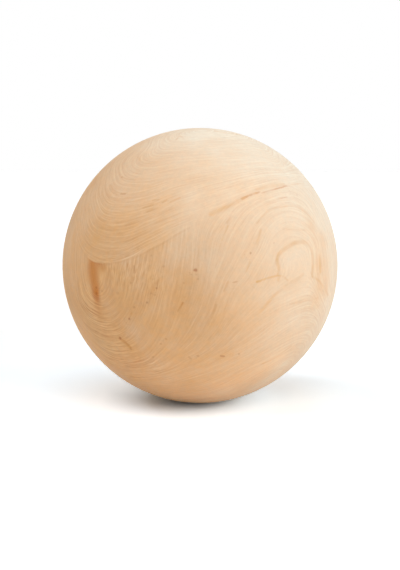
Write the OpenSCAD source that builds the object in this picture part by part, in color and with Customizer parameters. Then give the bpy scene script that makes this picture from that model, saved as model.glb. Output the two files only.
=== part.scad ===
// A solid wooden ball, turned and sanded from one block, with no hole, flat or spigot.
// The origin is the centre of the ball, and +Z points up.

/* [Ball] */
// Diameter of the finished ball
ball_d = 25; // [20:0.5:50]

/* [Hidden] */
// Sides of a drawn circle, so that the preview has no visible corners
$fn = 180;
birch = [0.89, 0.77, 0.64];

module ball() {
    color(birch)
        sphere(d = ball_d);
}

ball();
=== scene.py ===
# %% [markdown]
# A turned birch ball
#
# The object is one solid ball of pale wood, 25 mm across, sawn, turned and sanded from a single
# block. It has no hole, no flat and no lacquer, so its whole character is in the figure of the
# wood: growth rings that nest like a fingerprint, a pale seam where two swirls of grain meet, a
# small brown knot and a scatter of dark flecks. This lesson makes the ball with Geometry Nodes,
# works out where the rings run with a little mathematics, and paints them with a shader.

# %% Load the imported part
import math

import bpy
import numpy as np
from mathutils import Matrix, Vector


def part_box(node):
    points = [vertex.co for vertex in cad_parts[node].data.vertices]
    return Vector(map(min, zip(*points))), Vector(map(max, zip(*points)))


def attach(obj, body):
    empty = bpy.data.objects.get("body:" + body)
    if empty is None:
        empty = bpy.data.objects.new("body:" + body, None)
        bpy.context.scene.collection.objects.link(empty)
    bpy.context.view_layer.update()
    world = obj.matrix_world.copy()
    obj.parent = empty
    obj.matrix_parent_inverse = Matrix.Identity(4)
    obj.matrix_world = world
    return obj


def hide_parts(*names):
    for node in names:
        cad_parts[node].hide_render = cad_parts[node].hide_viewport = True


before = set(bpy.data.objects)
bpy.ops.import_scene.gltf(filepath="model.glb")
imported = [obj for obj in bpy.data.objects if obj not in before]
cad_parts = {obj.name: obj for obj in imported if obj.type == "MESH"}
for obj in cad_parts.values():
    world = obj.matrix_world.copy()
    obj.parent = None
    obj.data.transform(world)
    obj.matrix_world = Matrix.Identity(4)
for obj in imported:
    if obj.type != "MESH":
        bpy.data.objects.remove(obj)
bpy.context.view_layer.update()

low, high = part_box("ball")
BALL_R = (high[2] - low[2]) / 2
MM = 0.001
print(f"The packed ball is {2 * BALL_R / MM:.2f} mm across")

# %% [markdown]
# The camera comes first, because everything on the face of the ball is placed by looking through
# it. The picture is 400 by 570 pixels. The ball's outline in it is a circle, and its centre and
# radius in pixels, with the lens, give the distance that the camera has to stand at. The camera
# looks down a little, since the soft shadow under the ball is a flat oval and not a line.

# %% Stand the camera
FRAME_W, FRAME_H = 400, 570
BALL_PX = (200.0, 265.7)
BALL_RADIUS_PX = 137.55
LENS_MM, SENSOR_MM = 85.0, 36.0
LOOK_DOWN = math.radians(8)

focal_px = LENS_MM / SENSOR_MM * FRAME_H
camera_reach = BALL_R / math.sin(math.atan(BALL_RADIUS_PX / focal_px))
tip = math.atan((FRAME_H / 2 - BALL_PX[1]) / focal_px)
camera_place = Vector((0, -math.cos(LOOK_DOWN), math.sin(LOOK_DOWN))) * camera_reach

camera = bpy.data.objects.new("camera", bpy.data.cameras.new("camera"))
bpy.context.collection.objects.link(camera)
camera.location = camera_place
camera.rotation_euler = (math.pi / 2 - LOOK_DOWN - tip, 0, 0)
camera.data.lens = LENS_MM
camera.data.sensor_width = SENSOR_MM
camera.data.clip_start = 1 * MM
bpy.context.scene.camera = camera
print(f"The camera stands {camera_reach / MM:.1f} mm from the ball's centre")

# %% [markdown]
# A point seen in the picture lies where the sight line through its pixel first meets the ball.
# That is one quadratic equation. Points that fall just outside the outline are pulled in to it.

# %% Find the spot on the ball behind a pixel
lean = LOOK_DOWN + tip
FORWARD = np.array((0, math.cos(lean), -math.sin(lean)))
UPWARD = np.array((0, math.sin(lean), math.cos(lean)))


def on_ball(pixels):
    """The points of the ball, as directions from its centre, that show at these pixels."""
    pixels = np.atleast_2d(np.asarray(pixels, float))
    sight = FORWARD * focal_px + UPWARD * (FRAME_H / 2 - pixels[:, 1:])
    sight[:, 0] = pixels[:, 0] - FRAME_W / 2
    sight /= np.linalg.norm(sight, axis=1)[:, None]
    eye = np.array(camera_place) / BALL_R
    along = -sight @ eye
    reach = along - np.sqrt(np.clip(along**2 - eye @ eye + 1, 0, None))
    spots = eye + sight * reach[:, None]
    return spots / np.linalg.norm(spots, axis=1)[:, None]


PX_MM = BALL_R / MM / BALL_RADIUS_PX
print(f"One pixel covers {PX_MM:.3f} mm of the ball's face")

# %% [markdown]
# The ball itself follows a rule, so Geometry Nodes make it. A ball made of rings and segments
# crowds its faces at two poles, where the shading pinches. Here the six sides of a cube are cut
# into a grid, spread evenly by a tangent and pushed out to the sphere, so that the faces have
# nearly one size everywhere. The tree takes the diameter and the number of cells as inputs.

# %% One helper that adds a node
MATH, VECTOR, NOISE = "ShaderNodeMath", "ShaderNodeVectorMath", "ShaderNodeTexNoise"
MIX, RANGE = "ShaderNodeMix", "ShaderNodeMapRange"


def add(tree, kind, inputs=None, **settings):
    """Adds a node. inputs gives a value or a socket by an input's name or number. Returns its outputs."""
    node = tree.nodes.new(kind)
    for name, value in settings.items():
        setattr(node, name, value)
    for key, value in (inputs or {}).items():
        if isinstance(value, bpy.types.NodeSocket):
            tree.links.new(value, node.inputs[key])
        else:
            node.inputs[key].default_value = value
    return node.outputs


# %% Build the ball's tree
def ball_tree():
    """A ball from a cube whose sides are cut into a grid."""
    tree = bpy.data.node_groups.new("ball from a cube", "GeometryNodeTree")
    face = tree.interface
    face.new_socket("Geometry", in_out="OUTPUT", socket_type="NodeSocketGeometry")
    for name, kind in (("Diameter", "Float"), ("Cells", "Int"), ("Wood", "Material")):
        face.new_socket(name, in_out="INPUT", socket_type=f"NodeSocket{kind}")
    given = add(tree, "NodeGroupInput")
    corners = add(tree, MATH, {0: given["Cells"], 1: 1}, operation="ADD")[0]
    cube = add(tree, "GeometryNodeMeshCube", {
        "Size": (2, 2, 2), "Vertices X": corners, "Vertices Y": corners, "Vertices Z": corners})[0]
    place = add(tree, "GeometryNodeInputPosition")[0]
    turn = add(tree, VECTOR, {0: place, 1: (math.pi / 4,) * 3}, operation="MULTIPLY")[0]
    spread = add(tree, VECTOR, {0: turn}, operation="TANGENT")[0]
    unit = add(tree, VECTOR, {0: spread}, operation="NORMALIZE")[0]
    radius = add(tree, MATH, {0: given["Diameter"], 1: 0.5}, operation="MULTIPLY")[0]
    out = add(tree, VECTOR, {0: unit, "Scale": radius}, operation="SCALE")[0]
    moved = add(tree, "GeometryNodeSetPosition", {"Geometry": cube, "Position": out})[0]
    smooth = add(tree, "GeometryNodeSetShadeSmooth", {"Geometry": moved})[0]
    real = add(tree, "GeometryNodeRealizeInstances", {"Geometry": smooth})[0]
    wood = add(tree, "GeometryNodeSetMaterial", {"Geometry": real, "Material": given["Wood"]})[0]
    add(tree, "NodeGroupOutput", {0: wood})
    return tree


CELLS = 126
birch = bpy.data.materials.new("sanded_birch")
birch.use_nodes = True
blank = bpy.data.objects.new("blank", bpy.data.meshes.new("blank"))
bpy.context.collection.objects.link(blank)
maker = blank.modifiers.new("ball", "NODES")
maker.node_group = ball_tree()
for item in maker.node_group.interface.items_tree:
    wanted = {"Diameter": 2 * BALL_R, "Cells": CELLS, "Wood": birch}.get(item.name)
    if wanted is not None:
        maker[item.identifier] = wanted
evaluated = blank.evaluated_get(bpy.context.evaluated_depsgraph_get())
mesh = bpy.data.meshes.new_from_object(evaluated)
blank.modifiers.remove(maker)
bpy.data.objects.remove(blank)
mesh.name = "turned_ball"
ball = bpy.data.objects.new("turned_ball", mesh)
bpy.context.collection.objects.link(ball)
print(f"The ball has {len(mesh.vertices)} points and {2 * len(mesh.polygons)} triangles")

# %% [markdown]
# Growth rings are the level lines of a smooth landscape: each ring has a number, and the number
# climbs by one from ring to ring. So the figure is drawn the way a map maker draws hills. A few
# guide lines are laid along rings that can be seen, each with its ring number, and a smooth field
# is fitted through them all. The grain has two swirls that meet at a seam, so there are two sets
# of guides: the arcs above the seam, which open to the right, and the hooks below it, which hang
# round the small knot at the left and arch over the large one at the right. The points are read
# off the picture, in its pixels.

# %% Guide lines above the seam
UPPER_RINGS = {
    0.0: [(76, 226), (78, 241), (84, 252), (94, 259), (108, 262), (122, 261), (136, 256)],
    2.2: [(79, 221), (82, 238), (93, 251), (111, 254), (128, 251), (161, 235), (193, 219)],
    4.4: [(82, 211), (85, 230), (96, 244), (113, 245), (131, 242), (164, 226), (197, 213), (232, 200),
          (266, 188), (302, 184)],
    6.6: [(85, 203), (89, 222), (102, 234), (119, 236), (137, 232), (187, 210), (221, 198), (255, 186),
          (291, 179)],
    8.8: [(92, 192), (92, 210), (103, 225), (120, 227), (137, 222), (187, 200), (222, 189), (256, 179),
          (293, 175)],
    11.0: [(98, 184), (95, 201), (105, 216), (122, 218), (139, 214), (190, 193), (224, 183), (259, 174),
           (290, 171)],
    13.2: [(105, 176), (100, 194), (109, 207), (125, 209), (142, 206), (195, 188), (230, 179), (266, 171)],
    15.4: [(109, 171), (106, 189), (116, 199), (134, 200), (169, 187), (204, 179), (240, 172), (276, 169)],
    17.6: [(113, 168), (112, 185), (126, 191), (146, 189), (198, 175), (234, 171), (268, 167)],
    19.6: [(118, 164), (120, 180), (138, 184), (174, 177), (209, 171), (246, 167), (281, 168)],
    21.4: [(125, 159), (127, 174), (144, 177), (162, 175), (198, 168), (234, 165), (268, 164)],
    22.9: [(146, 147), (132, 160), (138, 170), (156, 170), (192, 164), (228, 162), (264, 160), (282, 165)],
    24.6: [(150, 146), (139, 157), (145, 163), (160, 163), (193, 159), (230, 157), (266, 157)],
    26.4: [(153, 147), (150, 153), (158, 156), (171, 156), (207, 152), (243, 151), (268, 154)],
    28.0: [(159, 143), (160, 149), (178, 149), (213, 146), (250, 145)],
    29.8: [(167, 138), (170, 142), (198, 141), (235, 139)],
}

# %% Guide lines below the seam
LOWER_RINGS = {
    0.0: [(95, 262), (96, 275), (97, 290)],
    2.5: [(88, 264), (89, 282), (95, 296), (103, 296), (109, 282), (110, 264)],
    5.0: [(80, 262), (81, 280), (88, 298), (100, 304), (113, 295), (118, 278), (120, 262)],
    7.0: [(77, 264), (78, 285), (85, 303), (98, 312), (113, 311), (123, 295), (127, 277), (129, 260)],
    8.7: [(73, 264), (76, 290), (83, 309), (96, 320), (111, 322), (124, 312), (130, 294), (137, 258)],
    10.8: [(71, 285), (77, 306), (88, 322), (103, 330), (118, 329), (131, 315), (137, 297), (144, 258)],
    13.2: [(81, 320), (92, 333), (106, 339), (120, 340), (134, 331), (144, 314), (150, 296), (157, 252)],
    16.0: [(88, 333), (100, 345), (116, 350), (132, 349), (145, 341), (153, 325), (161, 300), (169, 245)],
    18.3: [(96, 346), (110, 356), (128, 358), (146, 352), (158, 337), (166, 318), (177, 270), (182, 240)],
    20.2: [(104, 354), (118, 361), (134, 362), (150, 357), (163, 343), (173, 325), (186, 275), (190, 232)],
    23.2: [(112, 363), (128, 367), (146, 364), (161, 355), (173, 340), (192, 300), (197, 270), (201, 232)],
    27.0: [(116, 367), (135, 369), (152, 365), (168, 356), (194, 325), (216, 276), (236, 224), (252, 206),
           (272, 197), (290, 194), (306, 203), (318, 223), (326, 246), (329, 275)],
    30.0: [(119, 370), (140, 371), (160, 367), (193, 346), (214, 313), (229, 274), (242, 250), (250, 231),
           (262, 217), (279, 208), (296, 208), (311, 219), (321, 235), (325, 256), (328, 287)],
    32.2: [(121, 372), (150, 371), (188, 354), (215, 327), (230, 292), (252, 262), (260, 246), (266, 231),
           (279, 219), (295, 216), (309, 227), (319, 244), (320, 270), (326, 297)],
    34.2: [(123, 374), (150, 374), (190, 357), (220, 331), (246, 290), (265, 255), (272, 240), (286, 230),
           (303, 231), (315, 245), (317, 268), (323, 297)],
    36.5: [(140, 376), (170, 371), (208, 353), (240, 322), (268, 296), (284, 284), (300, 277), (312, 280),
           (321, 302)],
    38.6: [(140, 378), (172, 374), (212, 356), (246, 331), (262, 317), (280, 307), (297, 300), (313, 297),
           (322, 311)],
    40.2: [(142, 380), (172, 377), (214, 360), (250, 339), (280, 317), (297, 309), (312, 306), (320, 318)],
    42.4: [(144, 382), (170, 381), (214, 367), (256, 345), (287, 325), (302, 318), (314, 321)],
    44.8: [(146, 386), (168, 388), (212, 376), (252, 356), (282, 339), (298, 332), (310, 328)],
    47.0: [(160, 393), (190, 391), (216, 384), (260, 362), (296, 342)],
    49.0: [(180, 398), (205, 396), (230, 389), (268, 369)],
}
SEAM = [(75, 214), (76, 228), (79, 242), (84, 252), (90, 259.2), (97, 262.3), (108, 263.6),
        (120, 261.3), (135, 256.5), (150, 249), (165, 241), (180, 232), (198, 221), (222, 207),
        (246, 196), (272, 188), (296, 184), (310, 188)]
print(f"{len(UPPER_RINGS)} guides above the seam and {len(LOWER_RINGS)} below it")

# %% [markdown]
# Two helpers turn guides into a field. The first rounds a guide off with a Catmull-Rom curve and
# puts a point every few pixels along it. The second is the map maker's fit: each point pulls on
# the field with the cube of its distance, which is the smoothest way to pass through scattered
# points in space. Because the fit is made in space and not in the picture, the rings run on by
# themselves round the sides and the back of the ball.

# %% Round off a guide, and fit a field through points
GUIDE_STEP_PX = 6.0
RING_SLACK = 1e-3
POINTS_AT_ONCE = 4000


def rounded(guide, step_px=GUIDE_STEP_PX):
    """Pixels every step or so along a smooth curve through the guide's points."""
    p = np.array(guide, float)
    p = np.vstack([2 * p[0] - p[1], p, 2 * p[-1] - p[-2]])
    run = []
    for a, b, c, d in zip(p, p[1:], p[2:], p[3:]):
        count = max(1, int(np.linalg.norm(c - b) / step_px))
        for t in np.arange(count) / count:
            run.append(b + (c - a) * t / 2 + (2 * a - 5 * b + 4 * c - d) * t**2 / 2
                       + (3 * b - a - 3 * c + d) * t**3 / 2)
    return np.array(run + [p[-2]])


def fitted(spots, values, slack):
    """A smooth field with about these values at these spots. It gives values and slopes anywhere."""
    gaps = np.linalg.norm(spots[:, None] - spots[None], axis=2)
    count = len(spots)
    flat = np.hstack([np.ones((count, 1)), spots])
    system = np.block([[gaps**3 + slack * np.eye(count), flat], [flat.T, np.zeros((4, 4))]])
    pull = np.linalg.solve(system, np.concatenate([values, np.zeros(4)]))
    weights, level, tilt = pull[:count], pull[count], pull[count + 1:]

    def field(points):
        height = np.empty(len(points))
        slope = np.empty((len(points), 3))
        for start in range(0, len(points), POINTS_AT_ONCE):
            part = slice(start, start + POINTS_AT_ONCE)
            offset = points[part][:, None] - spots[None]
            gap = np.linalg.norm(offset, axis=2)
            height[part] = gap**3 @ weights + level + points[part] @ tilt
            slope[part] = np.einsum("ij,ijk->ik", 3 * gap * weights, offset) + tilt
        return height, slope

    return field


def ring_field(rings):
    """The field of ring numbers through a set of guides."""
    lines = {number: on_ball(rounded(guide)) for number, guide in rings.items()}
    numbers = np.concatenate([np.full(len(line), number) for number, line in lines.items()])
    return fitted(np.vstack(list(lines.values())), numbers, RING_SLACK)


# %% [markdown]
# The seam becomes a field too: its value is the distance from the seam, in millimetres, above
# nought on the side of the upper arcs. To fit it, the seam's own points get nought, and points a
# little to either side get their distance.

# %% Put the fields on the ball's points
SIDE_STEP_PX = 8.0
WELL_INSIDE = 0.97
EDGE_SLACK = 1e-6


def seam_field():
    """The signed distance from the seam, in ball radii."""
    line = rounded(SEAM)
    run = np.gradient(line, axis=0)
    run /= np.linalg.norm(run, axis=1)[:, None]
    upper_side = np.stack([run[:, 1], -run[:, 0]], axis=1)
    spots, values = [on_ball(line)], [np.zeros(len(line))]
    for side in (-1, 1):
        beside = line + upper_side * side * SIDE_STEP_PX
        shown = np.linalg.norm(beside - BALL_PX, axis=1) < BALL_RADIUS_PX * WELL_INSIDE
        spots.append(on_ball(beside[shown]))
        values.append(side * np.linalg.norm(spots[-1] - spots[0][shown], axis=1))
    return fitted(np.vstack(spots), np.concatenate(values), EDGE_SLACK)


points = np.empty(3 * len(mesh.vertices))
mesh.vertices.foreach_get("co", points)
points = points.reshape(-1, 3)
outward = points / np.linalg.norm(points, axis=1)[:, None]
NUMBERS = []


def keep(name, values):
    """Stores one number for each point of the ball, for the shader to read."""
    NUMBERS.append(name)
    mesh.attributes.new(name, "FLOAT", "POINT").data.foreach_set("value", values.astype(np.float32))


LINE_MM = 0.29
LEAST_CROWDING = 0.02
for name, rings in (("upper", UPPER_RINGS), ("lower", LOWER_RINGS)):
    number, slope = ring_field(rings)(outward)
    slope -= outward * np.sum(slope * outward, axis=1)[:, None]
    crowding = np.linalg.norm(slope, axis=1) * LINE_MM * MM / BALL_R
    keep(f"{name}_ring", number)
    keep(f"{name}_octave", np.log2(np.maximum(crowding, LEAST_CROWDING)))
    print(f"{name} rings {number.min():.0f} to {number.max():.0f}")
seam_mm = seam_field()(outward)[0] * BALL_R / MM
keep("seam", seam_mm)

# %% [markdown]
# Wood is never one colour. This ball is pale cream at the top right and warmer, like honey,
# toward the lower left, with soft streaks of both that lie along the grain. The warmer, darker
# lower left is partly painted shade, and the honey streaks on the rim are painted shade of the
# rim. Each streak is a line between two spots in the picture, with a reach and an amount, more
# honey above nought and paler below it. Together they make one smooth field on the ball's points.
# Painted shade along the rim and at the foot, with a few lighter and darker patches, and the
# strength of the growth lines, which are crisp at the left and faint at the right, are fields of
# the same kind. Whatever the rim of the picture shows, its painted shade too, is carried on behind
# it and fades slowly, and the side that isn't shown goes over to an even honey.

# %% Carry the rim on behind
CARRY_END = 0.75
TINY = 1e-9
toward = np.array(camera_place) / camera_reach
turned_away = -outward @ toward
rim_turn = -BALL_R / camera_reach
sideways = outward + toward * turned_away[:, None]
sideways /= np.maximum(np.linalg.norm(sideways, axis=1), TINY)[:, None]
rim = sideways * math.sqrt(1 - rim_turn**2) - toward * rim_turn
seen_as = np.where(turned_away[:, None] > rim_turn, rim, outward)
carried = np.clip((CARRY_END - turned_away) / (CARRY_END - rim_turn), 0, 1)
carried *= carried * (3 - 2 * carried)
print(f"The camera sees {np.mean(turned_away < rim_turn):.0%} of the ball's points")


# %% Soft streaks as fields
def streaks(base, strokes):
    """A field that starts from base and adds each soft stroke: start, end, reach and amount."""
    total = np.array(base, float)
    for start, end, reach_px, amount in strokes:
        a, b = on_ball([start, end])
        run = b - a
        along = np.clip((seen_as - a) @ run / max(run @ run, TINY), 0, 1)
        gap = np.linalg.norm(seen_as - a - along[:, None] * run, axis=1)
        total += amount * carried * np.exp(-(gap * BALL_RADIUS_PX / reach_px) ** 2)
    return total


# More honey toward the lower left: partly the wood's warmer side, partly painted shade of that side
HONEY_AND_SHADE_SIDE = np.array((-0.40, -0.46, -0.22))
HONEY_BASE = 0.372
# The honey streaks on the rim, at the left, the upper left and the right, are painted shade of the rim
HONEY_AND_SHADE = [
    ((200, 134), (255, 140), 18, -0.36), ((150, 144), (190, 140), 12, -0.12),
    ((120, 195), (150, 212), 12, -0.05), ((148, 207), (168, 200), 6, 0.05),
    ((95, 232), (120, 228), 10, 0.05), ((192, 192), (192, 202), 8, -0.10),
    ((186, 220), (190, 252), 16, -0.17), ((210, 262), (216, 275), 11, -0.13),
    ((172, 250), (168, 260), 8, -0.08), ((190, 276), (179, 312), 7, 0.05),
    ((205, 325), (235, 315), 14, 0.02), ((220, 357), (226, 354), 6, 0.06),
    ((190, 345), (215, 340), 14, 0.02), ((155, 370), (175, 385), 13, -0.05),
    ((258, 292), (275, 288), 10, -0.08), ((285, 300), (305, 290), 10, -0.07),
    ((265, 340), (290, 322), 14, -0.12), ((255, 388), (285, 364), 9, -0.16),
    ((210, 392), (225, 391), 10, -0.16), ((255, 240), (251, 254), 5, 0.08),
    ((290, 258), (302, 250), 9, -0.09), ((311, 228), (320, 262), 8, 0.16),
    ((319, 266), (319, 285), 8, 0.20), ((315, 300), (322, 290), 8, 0.10),
    ((300, 205), (312, 225), 6, 0.08), ((116, 336), (133, 346), 5, 0.10),
    ((112, 312), (132, 330), 9, -0.07), ((204, 165), (212, 163), 8, 0.05),
    ((64, 238), (68, 292), 18, 0.18), ((128, 262), (140, 268), 15, -0.10),
    ((245, 152), (290, 190), 24, -0.15), ((195, 202), (230, 195), 15, -0.06),
    ((323, 240), (326, 290), 9, 0.20), ((258, 262), (280, 268), 16, -0.06),
    ((135, 325), (165, 372), 15, -0.06), ((231, 255), (237, 278), 12, -0.06),
    ((66, 240), (69, 290), 20, -0.08), ((205, 390), (260, 374), 12, 0.07),
    ((160, 150), (215, 150), 10, -0.12), ((200, 171), (255, 173), 9, -0.05),
    ((280, 186), (300, 194), 9, 0.08), ((312, 300), (322, 316), 8, 0.07),
    ((335, 250), (335, 282), 18, 0.13), ((74, 215), (90, 186), 20, 0.06),
    ((96, 178), (132, 148), 22, 0.18), ((185, 160), (240, 168), 14, -0.08),
    ((296, 198), (304, 204), 7, 0.07), ((130, 212), (148, 212), 9, 0.06),
    ((214, 214), (272, 226), 12, -0.06), ((216, 238), (258, 238), 9, -0.04),
    ((102, 272), (120, 272), 7, 0.06),
]
# Painted shade along the left rim, the upper left rim and the bottom rim by the foot, with lighter and
# darker patches elsewhere
PAINTED_SHADE_AND_TONE = [
    ((66, 235), (69, 300), 24, -0.12), ((84, 308), (104, 345), 14, -0.07),
    ((72, 219), (100, 173), 22, -0.09), ((128, 381), (186, 402), 28, -0.14),
    ((200, 255), (203, 335), 20, -0.05), ((195, 325), (232, 333), 16, -0.03),
    ((225, 384), (275, 362), 16, 0.10), ((180, 396), (225, 394), 14, 0.06),
    ((306, 305), (314, 330), 14, -0.02), ((115, 185), (120, 215), 14, 0.03),
    ((150, 148), (225, 134), 16, 0.03), ((195, 205), (250, 195), 14, 0.03),
    ((200, 356), (225, 346), 12, -0.03), ((188, 282), (188, 298), 8, -0.03),
]
CONTRAST_BASE = 0.55
CONTRAST = [
    ((105, 215), (130, 235), 26, 0.30), ((88, 303), (116, 342), 20, 1.60),
    ((112, 272), (150, 283), 18, 0.80), ((112, 360), (150, 366), 14, 1.05),
    ((250, 290), (280, 260), 30, -0.17), ((160, 170), (265, 162), 24, -0.14),
    ((290, 245), (300, 270), 18, -0.26), ((250, 338), (292, 318), 16, -0.10),
    ((255, 310), (300, 285), 20, -0.12), ((245, 245), (265, 225), 14, -0.08),
    ((222, 225), (250, 285), 28, -0.12), ((270, 215), (312, 225), 16, -0.09),
]
SEAM_DEPTH = [
    ((76, 225), (84, 252), 9, 0.6), ((100, 262), (150, 249), 16, 1.0), ((165, 241), (182, 232), 9, 0.5),
]
DASHES_BASE = 0.25
DASHES = [((112, 272), (150, 278), 15, 0.55), ((190, 260), (215, 330), 30, 0.15)]
FAR_HONEY, FAR_BLEND = 0.52, 0.7
AWAY_START, AWAY_GAIN = 0.05, 6.0

nothing = np.zeros(len(outward))
keep("away", np.clip((turned_away - AWAY_START) * AWAY_GAIN, 0, 1))
even = outward @ HONEY_AND_SHADE_SIDE + HONEY_BASE
even += (FAR_HONEY - even) * np.clip(turned_away / FAR_BLEND, 0, 1)
keep("honey_and_shade", streaks(even, HONEY_AND_SHADE))
keep("painted_shade_and_tone", streaks(nothing, PAINTED_SHADE_AND_TONE))
keep("contrast", streaks(nothing + CONTRAST_BASE, CONTRAST))
keep("seam_depth", np.clip(streaks(nothing, SEAM_DEPTH), 0, 1))
keep("dashes", streaks(nothing + DASHES_BASE, DASHES))
print(f"The honey field has {len(HONEY_AND_SHADE)} streaks")

# %% [markdown]
# Small marks each have their own place: brown flecks, the dark dots of the knot, the brown strokes
# by the seam, the ochre loop at the right. A mark with one point is a dot. They are finer than the
# faces of the ball, so they can't be stored as a plain amount at each point. Instead each point
# notes how far it lies across and beyond its nearest stroke. These distances change evenly over a
# face, so the shader can work out a crisp edge between the points.

# %% Strokes as distances
POINT_GAP = BALL_R / MM * math.pi / 2 / CELLS
REACH_MM = 0.6
INK_STEP_PX = 0.5
DOT_PX = 0.1


def keep_vector(name, values):
    """Stores three numbers for each point of the ball, for the shader to read."""
    mesh.attributes.new(name, "FLOAT_VECTOR", "POINT").data.foreach_set(
        "vector", values.astype(np.float32).ravel())


def ink(name, strokes):
    """Notes for each point its nearest stroke: points, half width and blur in pixels, strength."""
    nearest = np.full(len(outward), REACH_MM)
    second = np.full(len(outward), REACH_MM)
    where, how = np.ones((2, len(outward), 3))
    how[:, 2] = 0
    for pixels, half_px, blur_px, strength in strokes:
        if len(pixels) == 1:
            x, y = pixels[0]
            pixels = [(x - DOT_PX, y), (x + DOT_PX, y)]
        line = on_ball(rounded(pixels, INK_STEP_PX))
        run = np.gradient(line, axis=0)
        run /= np.linalg.norm(run, axis=1)[:, None]
        middle = line[len(line) // 2]
        wide = np.linalg.norm(line - middle, axis=1).max() + REACH_MM * MM / BALL_R
        close = np.flatnonzero(np.linalg.norm(outward - middle, axis=1) < wide)
        offset = outward[close][:, None] - line[None]
        pick = np.linalg.norm(offset, axis=2).argmin(axis=1)
        offset = offset[np.arange(len(close)), pick] * BALL_R / MM
        across = np.sum(np.cross(outward[close], run[pick]) * offset, axis=1)
        along = np.sum(run[pick] * offset, axis=1)
        end = (pick == 0) | (pick == len(line) - 1)
        beyond = np.where(end, along, 0)
        gap = np.hypot(across, beyond)
        closer = gap < nearest[close]
        second[close] = np.minimum(second[close], np.where(closer, nearest[close], gap))
        chosen = close[closer]
        nearest[chosen] = gap[closer]
        where[chosen] = np.stack([across, beyond, np.zeros(len(close))], axis=1)[closer]
        how[chosen] = (half_px * PX_MM, blur_px * PX_MM, strength)
    how[:, 2] *= np.clip((second - nearest) / (2 * POINT_GAP), 0, 1)
    keep_vector(f"{name}_where", where)
    keep_vector(f"{name}_how", how)


# Each stroke has its points, its half width and blur in pixels, and its strength
FLECKS = [
    ([(195.5, 270)], 0.8, 1.4, 0.58), ([(221, 356), (224, 356.5)], 0.4, 1.3, 0.42),
    ([(250.5, 253)], 0.5, 1.2, 0.40), ([(120, 338)], 0.6, 1.6, 0.56), ([(131, 349)], 0.4, 1.2, 0.30),
    ([(96.3, 287.8)], 0.5, 1.2, 0.54), ([(96.5, 293.2)], 0.6, 1.2, 0.62), ([(102, 291)], 0.3, 0.9, 0.36),
    ([(156.5, 288.3)], 0.4, 1.1, 0.42), ([(151.3, 293.4)], 0.3, 1.1, 0.30),
    ([(154.6, 294.7)], 0.3, 1.1, 0.30), ([(147, 302.6)], 0.4, 1.2, 0.44),
    ([(134.2, 307.2)], 0.3, 1.3, 0.30), ([(129.4, 319)], 0.4, 1.3, 0.52), ([(166, 339)], 0.4, 1.2, 0.32),
    ([(161, 344)], 0.4, 1.2, 0.28), ([(153, 357)], 0.4, 1.3, 0.22), ([(198, 356)], 0.5, 1.3, 0.28),
    ([(189, 357), (191, 359)], 0.3, 1.2, 0.22), ([(239, 354)], 0.3, 1.1, 0.34),
    ([(198, 279)], 0.3, 1.1, 0.24), ([(184, 283)], 0.3, 1.1, 0.22),
    ([(233, 282.5), (237, 281.5)], 0.2, 1.0, 0.26), ([(134, 266), (134.3, 272.5)], 0.3, 1.2, 0.26),
    ([(131, 283)], 0.4, 1.3, 0.22), ([(117.6, 293.2)], 0.6, 1.6, 0.20), ([(163.6, 266.4)], 0.4, 1.2, 0.20),
    ([(151.4, 255.5)], 0.3, 1.1, 0.16), ([(153, 279.5)], 0.3, 1.1, 0.16), ([(274, 243)], 0.3, 1.1, 0.16),
    ([(297, 195)], 0.5, 1.4, 0.12), ([(122, 177)], 0.4, 1.2, 0.20),
    ([(121, 194), (125, 194)], 0.3, 1.2, 0.26), ([(138, 249)], 0.3, 1.1, 0.14),
    ([(246, 197), (252, 194.6)], 0.1, 1.2, 0.20), ([(275, 189.2), (280, 187.8)], 0.1, 1.1, 0.08),
]
BROWN = [
    ([(242, 198.8), (248, 196.2), (254, 193.8), (260, 192)], 0.1, 1.9, 0.42),
    ([(261.5, 193), (270, 190.6), (278, 188.4), (287, 185.8)], 0.1, 1.5, 0.32),
    ([(121, 339.5), (125, 342), (130, 347)], 0.4, 2.1, 0.36),
    ([(131.6, 313), (129.6, 318)], 0.2, 1.2, 0.28),
    ([(183, 303), (178, 311)], 0.2, 1.3, 0.50), ([(137, 299), (138.6, 294)], 0.3, 1.2, 0.22),
    ([(153, 200.5), (159, 199.5)], 0.2, 1.2, 0.18), ([(162, 202.6), (167, 200)], 0.2, 1.2, 0.26),
    ([(143, 208), (153, 205)], 0.2, 1.3, 0.18), ([(147, 212), (158, 208)], 0.2, 1.3, 0.18),
    ([(170, 202), (180, 198)], 0.2, 1.4, 0.16), ([(128, 376), (140, 378)], 0.2, 1.4, 0.24),
    ([(110, 185), (113, 190), (118, 193), (127, 193)], 0.2, 1.3, 0.22),
    ([(122, 177), (127, 179), (135, 180)], 0.2, 1.3, 0.16), ([(231, 217), (227, 223)], 0.2, 1.6, 0.20),
    ([(228, 282), (224, 291)], 0.2, 1.6, 0.22), ([(216, 305), (212, 318)], 0.2, 1.8, 0.20),
    ([(278, 199), (287, 197)], 0.0, 1.2, 0.20),
]
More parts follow.
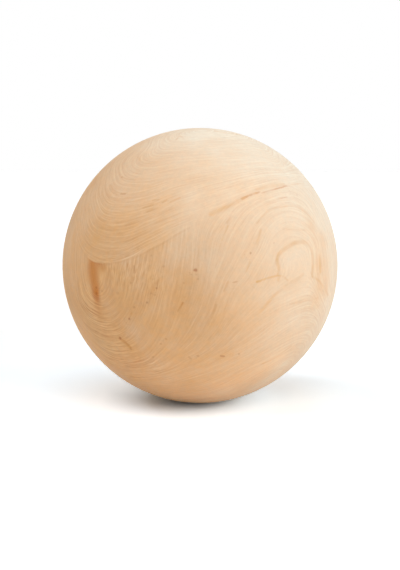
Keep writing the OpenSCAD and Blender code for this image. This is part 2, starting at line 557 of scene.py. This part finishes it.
OCHRE = [
    ([(211, 214), (224, 208), (235, 202.5), (246, 197), (256, 192.5)], 0.3, 3.8, 0.22),
    ([(256, 189.5), (268, 186.6), (284, 184)], 0.4, 2.6, 0.18), ([(288, 185), (304, 183)], 0.0, 1.4, 0.16),
    ([(257, 282), (265, 279), (272, 277), (278, 275.5), (284, 277), (288, 281)], 0.2, 1.5, 0.34),
    ([(303, 275), (296, 280), (289, 283), (283, 288), (278, 292), (272, 298), (267, 304), (258, 315)],
     0.4, 2.2, 0.16),
    ([(319.5, 256), (320.5, 272)], 0.5, 2.4, 0.30),
    ([(313, 277), (318, 280), (323, 286), (328, 295)], 0.3, 2.0, 0.16),
    ([(257, 223), (262, 217), (270, 210), (280, 207), (293, 206), (302, 210), (310, 217), (314, 222)],
     0.1, 1.6, 0.16),
    ([(283, 229), (305, 230)], 0.1, 1.8, 0.12),
    ([(138, 157), (141, 161), (147, 163), (157, 162)], 0.2, 1.6, 0.10),
    ([(261, 230), (257, 244)], 0.2, 2.0, 0.16), ([(291, 346), (275, 358), (262, 364)], 0.1, 1.6, 0.20),
    ([(290, 304), (300, 302), (318, 298)], 0.1, 1.5, 0.16), ([(305, 308), (318, 307)], 0.8, 3.0, 0.14),
    ([(119, 337), (127, 345), (132, 350)], 1.0, 3.0, 0.16),
    ([(176, 140), (180, 136), (184, 139)], 0.2, 1.3, 0.18), ([(215, 131), (240, 135)], 0.4, 2.2, 0.24),
    ([(250, 262), (246, 272)], 0.2, 1.6, 0.18), ([(222, 240), (228, 226)], 0.1, 1.5, 0.16),
    ([(277.5, 260), (279.2, 270)], 0.3, 2.2, 0.14),
]
LOOP = [
    ([(279, 280), (279, 268), (277, 262), (278, 256), (282, 251), (288, 247), (295, 243), (303, 242),
      (309, 246), (312, 252), (313, 262), (312, 276)], 0.7, 2.5, 0.24),
]
ink("flecks", FLECKS)
ink("brown", BROWN)
ink("ochre", OCHRE)
ink("loop", LOOP)
print(f"{len(FLECKS)} flecks and {len(BROWN) + len(OCHRE) + len(LOOP)} longer strokes")

# %% [markdown]
# The brown stain of the small knot is too wide for a stroke. It has its own field, which runs from
# nought at its left edge to one at its right edge, and soft streaks say how strong it is.

# %% The knot's stain
STAIN_LEFT = [(88.2, 260), (87.4, 268), (88, 274), (89.2, 280), (91, 286), (92.3, 292), (94, 299),
              (95, 306)]
STAIN_RIGHT = [(98, 260), (98, 268), (98.5, 274), (98.8, 280), (99.2, 286), (98.6, 292), (99.5, 299),
               (101, 306)]
STAIN = [((92.5, 265), (95.5, 290), 9, 0.80), ((96.8, 294), (97.2, 299), 4, 0.30)]
STAIN_HALO = [((100, 264), (103, 267.5), 3.8, 0.50), ((97, 303), (100, 315), 5, 0.26)]
left_line, right_line = on_ball(rounded(STAIN_LEFT)), on_ball(rounded(STAIN_RIGHT))
sides = np.concatenate([np.zeros(len(left_line)), np.ones(len(right_line))])
keep("stain_across", fitted(np.vstack([left_line, right_line]), sides, EDGE_SLACK)(outward)[0])
keep("stain", streaks(nothing, STAIN))
keep("stain_halo", streaks(nothing, STAIN_HALO))
print(f"The stain is about {np.linalg.norm(left_line[0] - right_line[0]) * BALL_R / MM:.1f} mm wide")

# %% [markdown]
# The wood's shader is built up in groups. The first draws growth lines from a ring number. Where
# rings crowd together the eye no longer parts them, so the group halves the number of lines each
# time their spacing would fall under about 0.3 mm, and blends from one count to the next. Real
# rings are finer than that, but the picture can't show them. Each line is a narrow pale ridge in
# the ring number. On it ride five kinds of streak. Each is a noise that changes slowly along a
# line and quickly from ring to ring, so that some rings are bold, others are faint, and all are
# broken up a little, as they are in real wood.

# %% Growth lines from a ring number
SWAY_RINGS = 1.3
SWAY_PER_MM = 0.3
RIDGE_POWER = 3.5
RIDGE_HEIGHT = 2.6
BLEND_GAIN = 1.4
# How fast each streak changes along a line per mm and from ring to ring, its detail, gain and middle
STREAKS = {
    "weight": (0.22, 0.6, 0, 5.0, 0.6),
    "streak": (0.25, 1.9, 1, 8.0, 0.0),
    "fine": (0.60, 3.2, 1, 9.0, 0.0),
    "dash": (1.50, 2.8, 1, 13.0, 0.0),
    "band": (0.20, 0.4, 1, 5.0, 0.0),
}


def line_set(tree, place, ring):
    """One set of lines, dashes and bands that follow a ring number."""
    kinds = {}
    for name, (along, across, detail, gain, middle) in STREAKS.items():
        spot = add(tree, VECTOR, {0: place, "Scale": along}, operation="SCALE")[0]
        turn = add(tree, MATH, {0: ring, 1: across}, operation="MULTIPLY")[0]
        grey = add(tree, NOISE, {"Vector": spot, "W": turn, "Scale": 1.0, "Detail": detail},
                   noise_dimensions="4D")["Fac"]
        kinds[name] = add(tree, MATH, {0: grey, 1: gain, 2: middle - gain / 2},
                          operation="MULTIPLY_ADD")[0]
    step = add(tree, MATH, {0: ring}, operation="FRACT")[0]
    step = add(tree, MATH, {0: step, 1: 2.0, 2: -1.0}, operation="MULTIPLY_ADD")[0]
    step = add(tree, MATH, {0: step}, operation="ABSOLUTE")[0]
    ridge = add(tree, MATH, {0: step, 1: RIDGE_POWER}, operation="POWER")[0]
    ridge = add(tree, MATH, {0: ridge, 1: RIDGE_HEIGHT, 2: -RIDGE_HEIGHT / (RIDGE_POWER + 1)},
                operation="MULTIPLY_ADD")[0]
    line = add(tree, MATH, {0: ridge, 1: kinds["weight"], 2: kinds["streak"]},
               operation="MULTIPLY_ADD")[0]
    line = add(tree, MATH, {0: line, 1: kinds["fine"]}, operation="ADD")[0]
    return line, kinds["dash"], kinds["band"]


def line_group():
    """Growth lines about nought that follow a ring number, with the right count for the eye."""
    tree = bpy.data.node_groups.new("growth lines", "ShaderNodeTree")
    for name, kind in (("Place", "Vector"), ("Ring", "Float"), ("Octave", "Float")):
        tree.interface.new_socket(name, in_out="INPUT", socket_type=f"NodeSocket{kind}")
    for name in ("Lines", "Dashes", "Bands"):
        tree.interface.new_socket(name, in_out="OUTPUT", socket_type="NodeSocketFloat")
    given = add(tree, "NodeGroupInput")
    halvings = add(tree, MATH, {0: given["Octave"]}, operation="FLOOR")[0]
    part = add(tree, MATH, {0: given["Octave"]}, operation="FRACT")[0]
    kept = add(tree, MATH, {0: 0.5, 1: halvings}, operation="POWER")[0]
    drift = add(tree, NOISE, {"Vector": given["Place"], "Scale": SWAY_PER_MM, "Detail": 1.0})["Fac"]
    sets = []
    for thinning in (1.0, 0.5):
        count = add(tree, MATH, {0: kept, 1: thinning}, operation="MULTIPLY")[0]
        ring = add(tree, MATH, {0: given["Ring"], 1: count}, operation="MULTIPLY")[0]
        ring = add(tree, MATH, {0: drift, 1: SWAY_RINGS, 2: ring}, operation="MULTIPLY_ADD")[0]
        sets.append(line_set(tree, given["Place"], ring))
    rest = add(tree, MATH, {0: 1.0, 1: part}, operation="SUBTRACT")[0]
    overlap = add(tree, MATH, {0: part, 1: rest}, operation="MULTIPLY")[0]
    gain = add(tree, MATH, {0: overlap, 1: BLEND_GAIN, 2: 1.0}, operation="MULTIPLY_ADD")[0]
    result = {}
    for i, (full, half) in enumerate(zip(*sets)):
        blend = add(tree, MIX, {"Factor": part, 2: full, 3: half})[0]
        result[i] = add(tree, MATH, {0: blend, 1: gain}, operation="MULTIPLY")[0]
    add(tree, "NodeGroupOutput", result)
    return tree


LINES = line_group()
print(f"The growth lines take {len(LINES.nodes)} nodes")

# %% [markdown]
# The wood is birch: cream sapwood that turns to honey, bare of lacquer and sanded fine, so it is
# satin at most. Two colours and a mix between them give the ground, and the inks are brown stains
# in the wood itself, so they tint it and never cover it. Wood has an IOR near 1.5.

# %% Colours and the ground
def linear(hex_colour):
    """A colour written as sRGB hex, as the linear numbers that a shader takes."""
    parts = [int(hex_colour[i:i + 2], 16) / 255 for i in (1, 3, 5)]
    return tuple(p / 12.92 if p <= 0.04045 else ((p + 0.055) / 1.055) ** 2.4 for p in parts) + (1.0,)


PALE, RICH = "#F1E2CC", "#E5B076"
OCHRE_INK, BROWN_INK = "#D6942E", "#C67616"
STAIN_INK, FLECK_INK = "#CA7824", "#AE5412"
BLOTCH_PER_MM, MOTTLE_PER_MM, SPECK_PER_MM = 0.55, 2.2, 4.5
BLOTCH_HONEY, MOTTLE_HONEY, BAND_HONEY = 0.21, 0.12, 0.03

wood = birch.node_tree
shader = wood.nodes["Principled BSDF"]
shader.inputs["IOR"].default_value = 1.5
place = add(wood, "ShaderNodeTexCoord")["Object"]
place_mm = add(wood, VECTOR, {0: place, "Scale": 1 / MM}, operation="SCALE")[0]
note = {name: add(wood, "ShaderNodeAttribute", attribute_name=name)["Fac"] for name in NUMBERS}

SEAM_SOFT_MM, SEAM_CRISP = 1.0, -0.92
blend_mm = add(wood, MATH, {0: note["seam_depth"], 1: SEAM_CRISP, 2: SEAM_SOFT_MM},
               operation="MULTIPLY_ADD")[0]
below_mm = add(wood, MATH, {0: blend_mm, 1: -1.0}, operation="MULTIPLY")[0]
above = add(wood, RANGE, {0: note["seam"], 1: below_mm, 2: blend_mm})[0]
swirls = [add(wood, "ShaderNodeGroup", {"Place": place_mm, "Ring": note[f"{name}_ring"],
                                        "Octave": note[f"{name}_octave"]}, node_tree=LINES)
          for name in ("lower", "upper")]
lines, dashes, bands = [add(wood, MIX, {"Factor": above, 2: low_side, 3: high_side})[0]
                        for low_side, high_side in zip(*swirls)]

blotch = add(wood, NOISE, {"Vector": place_mm, "Scale": BLOTCH_PER_MM, "Detail": 3.0})["Fac"]
speck = add(wood, NOISE, {"Vector": place_mm, "Scale": SPECK_PER_MM, "Detail": 2.0})["Fac"]
# This honey field carries painted shade of the lower left and of the rim as well as the wood's tone
honey_and_shade = add(wood, MATH, {0: bands, 1: BAND_HONEY, 2: note["honey_and_shade"]}, operation="MULTIPLY_ADD")[0]
cloud = add(wood, MATH, {0: blotch, 1: BLOTCH_HONEY, 2: -BLOTCH_HONEY / 2}, operation="MULTIPLY_ADD")[0]
honey_and_shade = add(wood, MATH, {0: honey_and_shade, 1: cloud}, operation="ADD")[0]
mottle = add(wood, NOISE, {"Vector": place_mm, "Scale": MOTTLE_PER_MM, "Detail": 1.0})["Fac"]
cloud = add(wood, MATH, {0: mottle, 1: MOTTLE_HONEY, 2: -MOTTLE_HONEY / 2}, operation="MULTIPLY_ADD")[0]
honey_and_shade = add(wood, MATH, {0: honey_and_shade, 1: cloud}, operation="ADD")[0]
ground = add(wood, MIX, {"Factor": honey_and_shade, 6: linear(PALE), 7: linear(RICH)}, data_type="RGBA")[2]

# %% [markdown]
# Each set of strokes turns into a strength: full within the stroke's half width, then falling away
# over its blur. A little noise makes the edge ragged, and a slower noise lets a long stroke come
# and go. The knot's stain has a crisp left edge, a softer right one, and ends at the seam. On the
# far side of the ball, which the picture doesn't show, a few flecks are strewn by chance.

# %% Inks for the strokes, the stain and the far side
RAGGED_MM = 0.16
FADE_PER_MM, FADE_GAIN = 0.9, 2.4
fade = add(wood, NOISE, {"Vector": place_mm, "Scale": FADE_PER_MM, "Detail": 1.0})["Fac"]
fade = add(wood, MATH, {0: fade, 1: FADE_GAIN, 2: 1 - FADE_GAIN / 2}, operation="MULTIPLY_ADD")[0]
jitter = add(wood, MATH, {0: speck, 1: -RAGGED_MM, 2: RAGGED_MM / 2}, operation="MULTIPLY_ADD")[0]
SMOOTH = {"interpolation_type": "SMOOTHSTEP"}


def stroke_ink(name):
    """The strength of a set of strokes, from the distances that the ball's points note."""
    where = add(wood, "ShaderNodeAttribute", attribute_name=f"{name}_where")["Vector"]
    how = add(wood, "ShaderNodeAttribute", attribute_name=f"{name}_how")["Vector"]
    half, blur, strength = add(wood, "ShaderNodeSeparateXYZ", {0: how})
    gap = add(wood, VECTOR, {0: where}, operation="LENGTH")["Value"]
    gap = add(wood, MATH, {0: gap, 1: jitter}, operation="ADD")[0]
    edge = add(wood, MATH, {0: half, 1: blur}, operation="ADD")[0]
    return add(wood, RANGE, {0: gap, 1: half, 2: edge, 3: strength, 4: 0.0}, **SMOOTH)[0]


# Where the stain starts and where it is full: across it from its left edge, and in mm at the seam
STAIN_FROM_LEFT, STAIN_FROM_RIGHT, STAIN_FROM_SEAM = (-0.32, 0.18), (1.38, 0.86), (0.04, -0.10)
core = 1.0
for none, full in (STAIN_FROM_LEFT, STAIN_FROM_RIGHT):
    edge = add(wood, RANGE, {0: note["stain_across"], 1: none, 2: full}, **SMOOTH)[0]
    core = add(wood, MATH, {0: core, 1: edge}, operation="MULTIPLY")[0]
none, full = STAIN_FROM_SEAM
below_seam = add(wood, RANGE, {0: note["seam"], 1: none, 2: full}, **SMOOTH)[0]
stain = add(wood, MATH, {0: note["stain"], 1: core, 2: note["stain_halo"]}, operation="MULTIPLY_ADD")[0]
stain = add(wood, MATH, {0: stain, 1: below_seam}, operation="MULTIPLY")[0]

FAR_FLECK_PER_MM = 0.45
FAR_FLECK_CORE, FAR_FLECK_EDGE, FAR_FLECK_STRENGTH = 0.02, 0.06, 0.5
spots = add(wood, "ShaderNodeTexVoronoi", {"Vector": place_mm, "Scale": FAR_FLECK_PER_MM})["Distance"]
far_flecks = add(wood, RANGE, {0: spots, 1: FAR_FLECK_EDGE, 2: FAR_FLECK_CORE}, **SMOOTH)[0]
far_flecks = add(wood, MATH, {0: far_flecks, 1: note["away"]}, operation="MULTIPLY")[0]

colour = ground
for ink_colour, strength, come_and_go in (
        (STAIN_INK, stain, 1.0), (OCHRE_INK, stroke_ink("ochre"), fade),
        (OCHRE_INK, stroke_ink("loop"), fade), (BROWN_INK, stroke_ink("brown"), fade),
        (FLECK_INK, stroke_ink("flecks"), 1.0), (FLECK_INK, far_flecks, FAR_FLECK_STRENGTH)):
    amount = add(wood, MATH, {0: strength, 1: come_and_go}, operation="MULTIPLY")[0]
    colour = add(wood, MIX, {"Factor": amount, 6: colour, 7: linear(ink_colour)}, data_type="RGBA")[2]
print(f"The ground runs from {PALE} to {RICH}")

# %% [markdown]
# Growth lines darken and lighten the wood by a few hundredths. They show more in green and blue
# than in red, because a darker ring is also a browner one, while a fine speckle and a soft mottle
# are plain light and dark. The painted shade of the rim and foot, and the lighter and darker
# patches, darken and lighten the colour here too. Where the two swirls meet, the cut fibres catch
# the light in a thin pale line with a dark one under it, painted into the colour as a painted
# highlight and a painted shadow. The same lines are felt by the light as a faint relief, a few
# thousandths of a millimetre deep, and as changes in gloss.

# %% Light and dark in the lines
LINE_TINT = (0.90, 1.85, 2.6)
LINE_DEPTH, SPECK_DEPTH, MOTTLE_DEPTH = 0.042, 0.10, 0.12
SEAM_PALE_MM, SEAM_DARK_MM, SEAM_CORE_MM, SEAM_EDGE_MM = 0.12, -0.08, 0.03, 0.13
SEAM_PALE, SEAM_DARK = 0.055, -0.045
SATIN, SATIN_CHANGE = 0.66, 0.02
RELIEF_MM, RELIEF_STRENGTH, LINE_RELIEF = 0.004, 0.6, 0.5

grain = add(wood, MIX, {"Factor": note["dashes"], 2: lines, 3: dashes})[0]
grain = add(wood, MATH, {0: grain, 1: note["contrast"]}, operation="MULTIPLY")[0]
line_tone_and_seam_light = add(wood, MATH, {0: grain, 1: LINE_DEPTH}, operation="MULTIPLY")[0]
# A painted highlight in a thin pale line above the seam and a painted shadow in a dark line under it
for middle_mm, amount in ((SEAM_PALE_MM, SEAM_PALE), (SEAM_DARK_MM, SEAM_DARK)):
    gap = add(wood, MATH, {0: note["seam"], 1: middle_mm}, operation="SUBTRACT")[0]
    gap = add(wood, MATH, {0: gap}, operation="ABSOLUTE")[0]
    seam_highlight_and_shadow = add(wood, RANGE, {0: gap, 1: SEAM_EDGE_MM, 2: SEAM_CORE_MM, 4: amount}, **SMOOTH)[0]
    line_tone_and_seam_light = add(wood, MATH, {0: seam_highlight_and_shadow, 1: note["seam_depth"], 2: line_tone_and_seam_light}, operation="MULTIPLY_ADD")[0]
tint = add(wood, VECTOR, {0: LINE_TINT, "Scale": line_tone_and_seam_light}, operation="SCALE")[0]
plain = add(wood, MATH, {0: speck, 1: SPECK_DEPTH, 2: 1 - (SPECK_DEPTH + MOTTLE_DEPTH) / 2},
            operation="MULTIPLY_ADD")[0]
plain = add(wood, MATH, {0: mottle, 1: MOTTLE_DEPTH, 2: plain}, operation="MULTIPLY_ADD")[0]
# Adds the painted shade of the rim and foot, and the lighter and darker patches, to the colour
plain = add(wood, MATH, {0: plain, 1: note["painted_shade_and_tone"]}, operation="ADD")[0]
light = add(wood, VECTOR, {0: tint, 1: plain}, operation="ADD")[0]
colour = add(wood, VECTOR, {0: colour, 1: light}, operation="MULTIPLY")[0]
wood.links.new(colour, shader.inputs["Base Color"])
rough = add(wood, MATH, {0: lines, 1: SATIN_CHANGE, 2: SATIN}, operation="MULTIPLY_ADD")[0]
wood.links.new(rough, shader.inputs["Roughness"])
height = add(wood, MATH, {0: lines, 1: LINE_RELIEF, 2: speck}, operation="MULTIPLY_ADD")[0]
bump = add(wood, "ShaderNodeBump",
           {"Height": height, "Distance": RELIEF_MM * MM, "Strength": RELIEF_STRENGTH})[0]
wood.links.new(bump, shader.inputs["Normal"])
print(f"The sanded birch takes {len(wood.nodes)} nodes")

# %% Say what the piece is
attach(ball, "root")
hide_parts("ball")

# %% [markdown]
# The ball rests on a white sweep under soft studio light: one broad lamp overhead, one high at the
# left, a key lamp low at the front right, and fainter ones to fill the rest. The floor and the
# world are brighter to the eye, and to a reflection, than they are to the ball. So they show as
# white, the ball's surface mirrors a white room, and the floor still keeps the ball's shadow. The
# paper's seen colour is painted light: it is brightest round the ball's foot and in front of it,
# which keeps the shadow small, and is only just white behind the ball, so that the ball's outline
# stays clean. Right at the foot it is painted a cooler white, which takes back some of the glow
# that the wood throws on it.

# %% Lay the floor
FLOOR_HALF = 0.30
PAPER = "#F6F6F6"
# How bright the paper looks from the ball's foot outwards, and where that changes, in metres.
# This is painted light, which lifts the ball's shadow at the foot and in front of it
SEEN_FOOT, SEEN_NEAR = (1.48, 1.79, 2.09, 1.0), (1.41, 1.52, 1.61, 1.0)
SEEN_AWAY, SEEN_AT_EDGE = 1.25, 1.50
FOOT_FULL, FOOT_END = 0.013, 0.016
NEAR_FULL, NEAR_END = 0.020, 0.045
FRONT_GAIN, FRONT_START, FRONT_FULL = 1.28, -0.004, -0.010


def looked_at(tree):
    """One for a ray from the camera, a reflection or a clear piece, and nought for all others."""
    rays = add(tree, "ShaderNodeLightPath")
    indirect = add(tree, MATH, {0: rays["Is Glossy Ray"], 1: rays["Is Transmission Ray"]},
                   operation="MAXIMUM")[0]
    return add(tree, MATH, {0: rays["Is Camera Ray"], 1: indirect}, operation="MAXIMUM")[0]


floor_mesh = bpy.data.meshes.new("floor")
corners = [(x * FLOOR_HALF, y * FLOOR_HALF, -BALL_R) for x, y in ((-1, -1), (1, -1), (1, 1), (-1, 1))]
floor_mesh.from_pydata(corners, [], [(0, 1, 2, 3)])
floor = bpy.data.objects.new("floor", floor_mesh)
bpy.context.collection.objects.link(floor)
paper = bpy.data.materials.new("white_paper")
paper.use_nodes = True
sheet = paper.node_tree
sheet.nodes.clear()
on_sheet = add(sheet, "ShaderNodeTexCoord")["Object"]
from_ball = add(sheet, VECTOR, {0: on_sheet}, operation="LENGTH")["Value"]
near = add(sheet, RANGE, {0: from_ball, 1: NEAR_END, 2: NEAR_FULL}, **SMOOTH)[0]
seen = add(sheet, RANGE, {0: from_ball, 1: NEAR_END, 2: FLOOR_HALF, 3: SEEN_AWAY, 4: SEEN_AT_EDGE})[0]
seen = add(sheet, MIX, {"Factor": near, 6: seen, 7: SEEN_NEAR}, data_type="RGBA")[2]
# A painted cooler, brighter white at the foot takes back the wood's glow and lifts the shadow
foot = add(sheet, RANGE, {0: from_ball, 1: FOOT_END, 2: FOOT_FULL}, **SMOOTH)[0]
seen = add(sheet, MIX, {"Factor": foot, 6: seen, 7: SEEN_FOOT}, data_type="RGBA")[2]
# Painted light on the paper in front of the ball keeps the shadow small there
depth = add(sheet, "ShaderNodeSeparateXYZ", {0: on_sheet})["Y"]
front = add(sheet, RANGE, {0: depth, 1: FRONT_START, 2: FRONT_FULL, 3: 1.0, 4: FRONT_GAIN}, **SMOOTH)[0]
seen = add(sheet, VECTOR, {0: seen, "Scale": front}, operation="SCALE")[0]
white = add(sheet, MIX, {"Factor": looked_at(sheet), 6: linear(PAPER), 7: seen},
            data_type="RGBA")[2]
matt = add(sheet, "ShaderNodeBsdfDiffuse", {"Color": white})[0]
add(sheet, "ShaderNodeOutputMaterial", {"Surface": matt})
floor_mesh.materials.append(paper)
print(f"The floor is {2 * FLOOR_HALF:.2f} m square")

# %% Light it
LAMP_REACH = 1.0
# Bearing and height in degrees, width in metres, power in watts
LAMPS = {
    "overhead": (0, 88, 0.90, 2.4),
    "high left": (180, 55, 0.60, 4.0),
    "high right": (0, 55, 0.60, 0.6),
    "key at the front right": (-45, 20, 0.50, 3.8),
    "above the key": (-20, 35, 0.50, 1.6),
    "front": (-90, 40, 0.50, 1.4),
    "low right": (0, 20, 0.50, 1.15),
    "low left": (180, 20, 0.50, 0.75),
}
for name, (bearing, rise, width, watts) in LAMPS.items():
    data = bpy.data.lights.new(name, "AREA")
    data.size = width
    data.energy = watts
    lamp = bpy.data.objects.new(name, data)
    turn, lift = math.radians(bearing), math.radians(rise)
    aim = Vector((math.cos(lift) * math.cos(turn), math.cos(lift) * math.sin(turn), math.sin(lift)))
    lamp.location = aim * LAMP_REACH
    lamp.rotation_mode = "QUATERNION"
    lamp.rotation_quaternion = (-aim).to_track_quat("-Z", "Y")
    bpy.context.collection.objects.link(lamp)

world = bpy.data.worlds.new("studio")
bpy.context.scene.world = world
world.use_nodes = True
sky = world.node_tree
sky.nodes.clear()
room = add(sky, "ShaderNodeBackground", {"Color": (1, 1, 1, 1), "Strength": looked_at(sky)})[0]
add(sky, "ShaderNodeOutputWorld", {"Surface": room})
bpy.context.scene.view_settings.view_transform = "Standard"
print(f"{len(LAMPS)} lamps light the ball")
